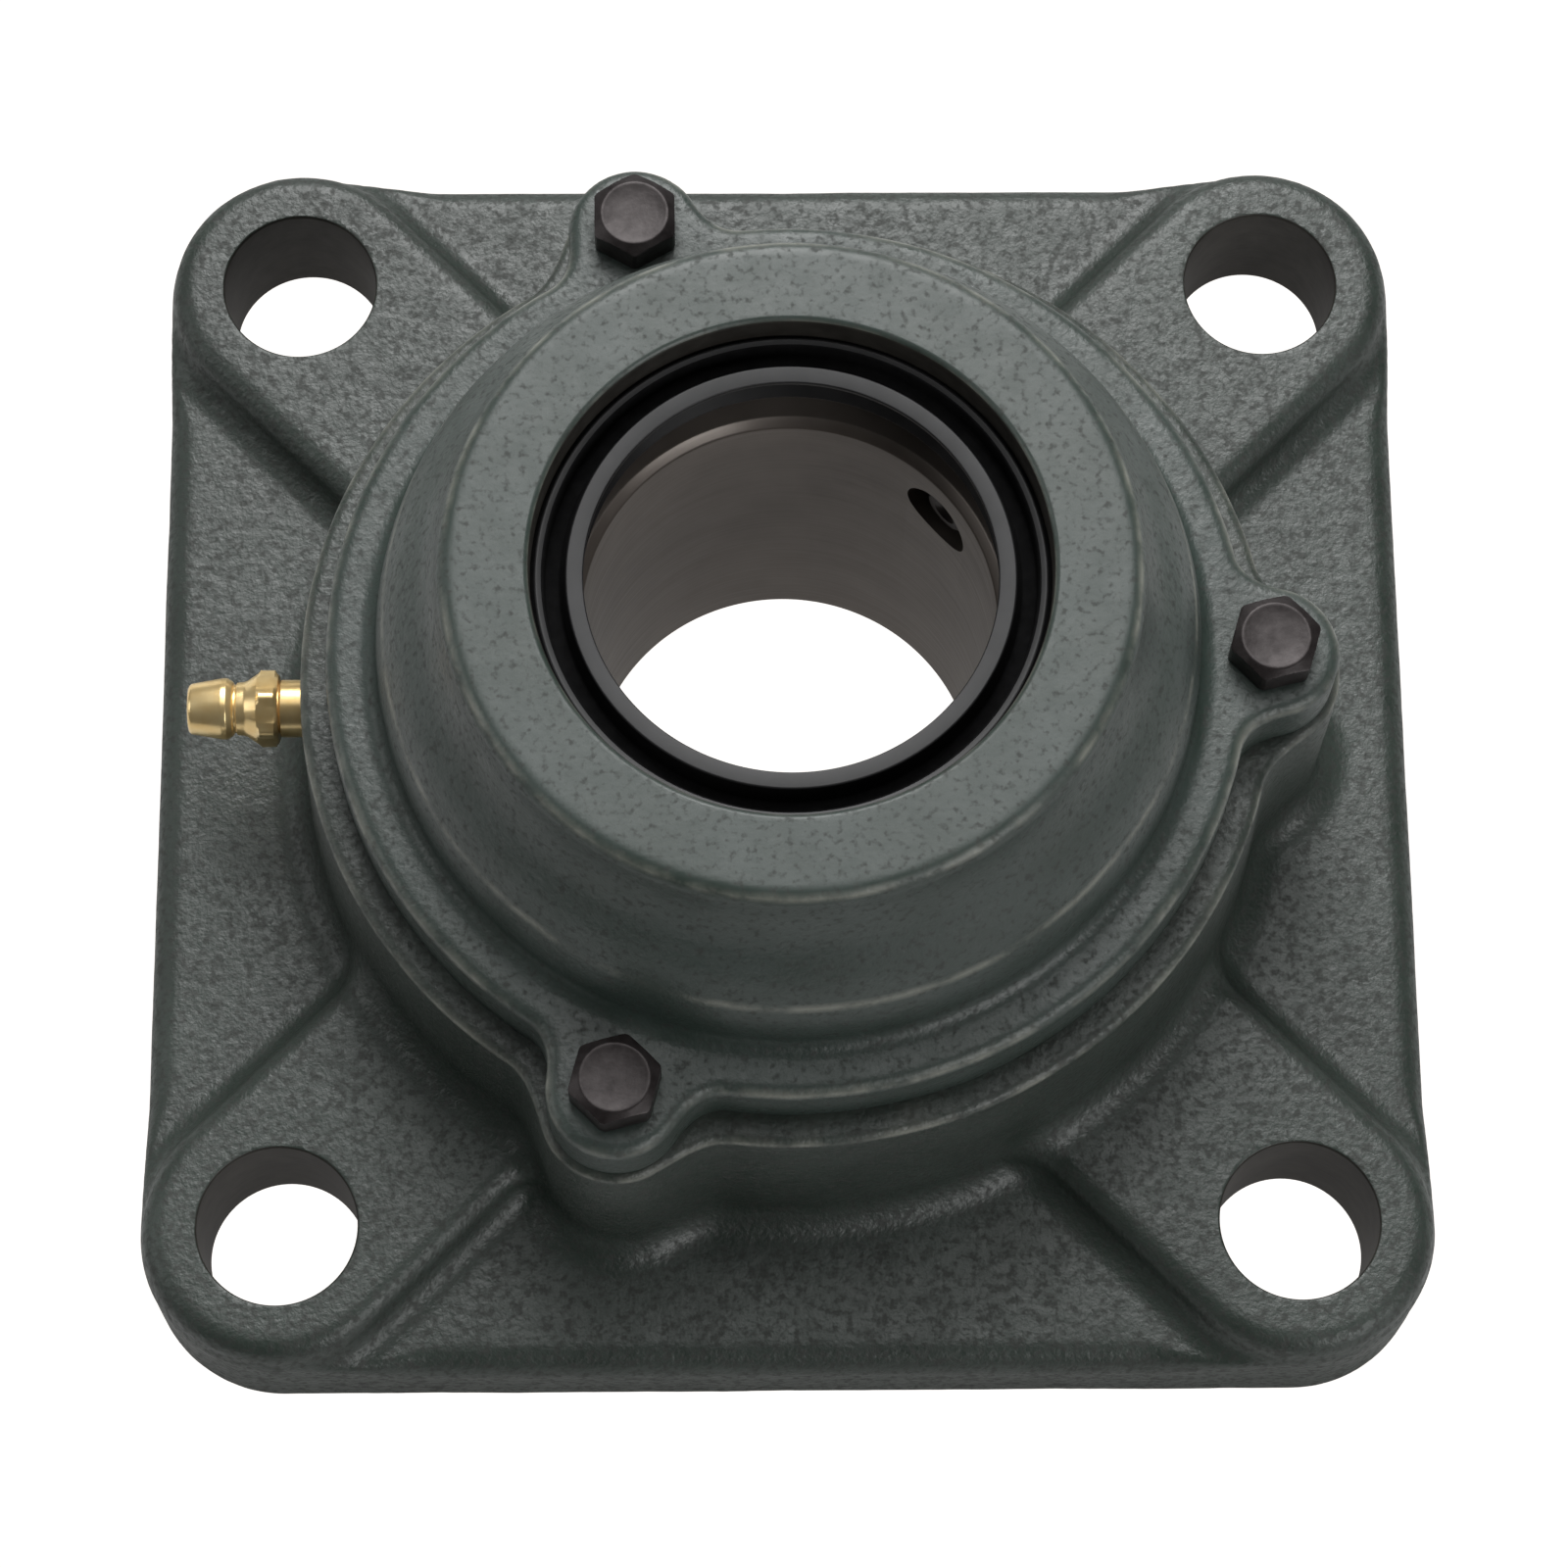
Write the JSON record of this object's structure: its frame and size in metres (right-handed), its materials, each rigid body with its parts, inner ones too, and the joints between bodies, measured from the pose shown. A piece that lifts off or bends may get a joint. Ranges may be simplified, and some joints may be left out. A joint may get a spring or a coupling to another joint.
{
  "type": "flange mount bearing",
  "caption": "Square flanged bearing unit in a painted cast housing: a self-aligning insert ball bearing with set screws, under a cast open cover with a shaft seal and a grease nipple.",
  "frame": {"origin": "centre of the square mounting face, on the bore axis", "axes": "+Z along the bore from the mounting face to the cover; X and Y parallel to the sides of the plate; the grease nipple points along -X"},
  "size_m": [0.13, 0.13, 0.066],
  "materials": {
    "cast_paint": "grey-green hammered paint over cast iron, slightly glossy",
    "screw_black": "dark oxide, satin",
    "seal_rubber": "black nitrile rubber, satin",
    "zinc_steel": "zinc-plated pressed steel",
    "spring_steel": "bright drawn wire",
    "brass": "polished turned brass",
    "ball_steel": "polished hardened steel",
    "ring_steel": "ground bearing steel",
    "ring_black": "ground bearing steel with a dark brown oxide film",
    "flinger_steel": "pressed steel sheet"
  },
  "bodies": {
    "housing": {"housing": "cast_paint", "front_cover": "cast_paint", "cover_screws": "screw_black", "cover_seal_rubber": "seal_rubber", "cover_seal_case": "zinc_steel", "cover_seal_spring": "spring_steel", "grease_nipple": "brass", "nipple_spring": "spring_steel"},
    "bearing": {"outer_ring": "ring_steel", "front_seal_plate": "zinc_steel", "front_seal_lip": "seal_rubber", "rear_seal_plate": "zinc_steel", "rear_seal_lip": "seal_rubber"},
    "shaft_ring": {"inner_ring": "ring_black", "front_flinger": "flinger_steel", "rear_flinger": "flinger_steel"},
    "cage": {"cage_front": "zinc_steel", "cage_rear": "zinc_steel", "cage_rivets": "spring_steel"},
    "set_screw_1": {"set_screw_1": "screw_black"},
    "set_screw_2": {"set_screw_2": "screw_black"},
    "check_ball": {"nipple_ball": "ball_steel"},
    "ball_1": {"ball_1": "ball_steel"},
    "ball_2": {"ball_2": "ball_steel"},
    "ball_3": {"ball_3": "ball_steel"},
    "ball_4": {"ball_4": "ball_steel"},
    "ball_5": {"ball_5": "ball_steel"},
    "ball_6": {"ball_6": "ball_steel"},
    "ball_7": {"ball_7": "ball_steel"},
    "ball_8": {"ball_8": "ball_steel"},
    "ball_9": {"ball_9": "ball_steel"}
  },
  "joints": [
    {"name": "bearing_swivel", "type": "hinge", "parent": "housing", "child": "bearing", "pos_m": [0, 0, 0.021], "axis": [1, 0, 0], "range_deg": [-2, 2]},
    {"name": "inner_ring_spin", "type": "hinge", "parent": "bearing", "child": "shaft_ring", "pos_m": [0, 0, 0.021], "axis": [0, 0, 1], "continuous": true},
    {"name": "cage_spin", "type": "hinge", "parent": "bearing", "child": "cage", "pos_m": [0, 0, 0.021], "axis": [0, 0, 1], "continuous": true},
    {"name": "ball_1_spin", "type": "hinge", "parent": "cage", "child": "ball_1", "pos_m": [0.03, 0, 0.021], "axis": [0, 0, 1], "continuous": true},
    {"name": "ball_2_spin", "type": "hinge", "parent": "cage", "child": "ball_2", "pos_m": [0.02298, 0.01928, 0.021], "axis": [0, 0, 1], "continuous": true},
    {"name": "ball_3_spin", "type": "hinge", "parent": "cage", "child": "ball_3", "pos_m": [0.00521, 0.02954, 0.021], "axis": [0, 0, 1], "continuous": true},
    {"name": "ball_4_spin", "type": "hinge", "parent": "cage", "child": "ball_4", "pos_m": [-0.015, 0.02598, 0.021], "axis": [0, 0, 1], "continuous": true},
    {"name": "ball_5_spin", "type": "hinge", "parent": "cage", "child": "ball_5", "pos_m": [-0.02819, 0.01026, 0.021], "axis": [0, 0, 1], "continuous": true},
    {"name": "ball_6_spin", "type": "hinge", "parent": "cage", "child": "ball_6", "pos_m": [-0.02819, -0.01026, 0.021], "axis": [0, 0, 1], "continuous": true},
    {"name": "ball_7_spin", "type": "hinge", "parent": "cage", "child": "ball_7", "pos_m": [-0.015, -0.02598, 0.021], "axis": [0, 0, 1], "continuous": true},
    {"name": "ball_8_spin", "type": "hinge", "parent": "cage", "child": "ball_8", "pos_m": [0.00521, -0.02954, 0.021], "axis": [0, 0, 1], "continuous": true},
    {"name": "ball_9_spin", "type": "hinge", "parent": "cage", "child": "ball_9", "pos_m": [0.02298, -0.01928, 0.021], "axis": [0, 0, 1], "continuous": true},
    {"name": "set_screw_1_travel", "type": "slide", "parent": "shaft_ring", "child": "set_screw_1", "axis": [-0.7431, -0.6691, 0], "range_m": [-0.002, 0.0008]},
    {"name": "set_screw_2_travel", "type": "slide", "parent": "shaft_ring", "child": "set_screw_2", "axis": [-0.2079, 0.9781, 0], "range_m": [-0.002, 0.0008]},
    {"name": "nipple_ball_travel", "type": "slide", "parent": "housing", "child": "check_ball", "axis": [1, 0, 0], "range_m": [0, 0.0008], "stiffness_N_per_m": 1500, "springref_m": -0.0005, "deforming": ["nipple_spring"]}
  ],
  "couplings": [
    {"joint": "cage_spin", "follows": "inner_ring_spin", "ratio": 0.40078},
    {"joint": "ball_1_spin", "follows": "inner_ring_spin", "ratio": -2.4205},
    {"joint": "ball_2_spin", "follows": "inner_ring_spin", "ratio": -2.4205},
    {"joint": "ball_3_spin", "follows": "inner_ring_spin", "ratio": -2.4205},
    {"joint": "ball_4_spin", "follows": "inner_ring_spin", "ratio": -2.4205},
    {"joint": "ball_5_spin", "follows": "inner_ring_spin", "ratio": -2.4205},
    {"joint": "ball_6_spin", "follows": "inner_ring_spin", "ratio": -2.4205},
    {"joint": "ball_7_spin", "follows": "inner_ring_spin", "ratio": -2.4205},
    {"joint": "ball_8_spin", "follows": "inner_ring_spin", "ratio": -2.4205},
    {"joint": "ball_9_spin", "follows": "inner_ring_spin", "ratio": -2.4205}
  ]
}
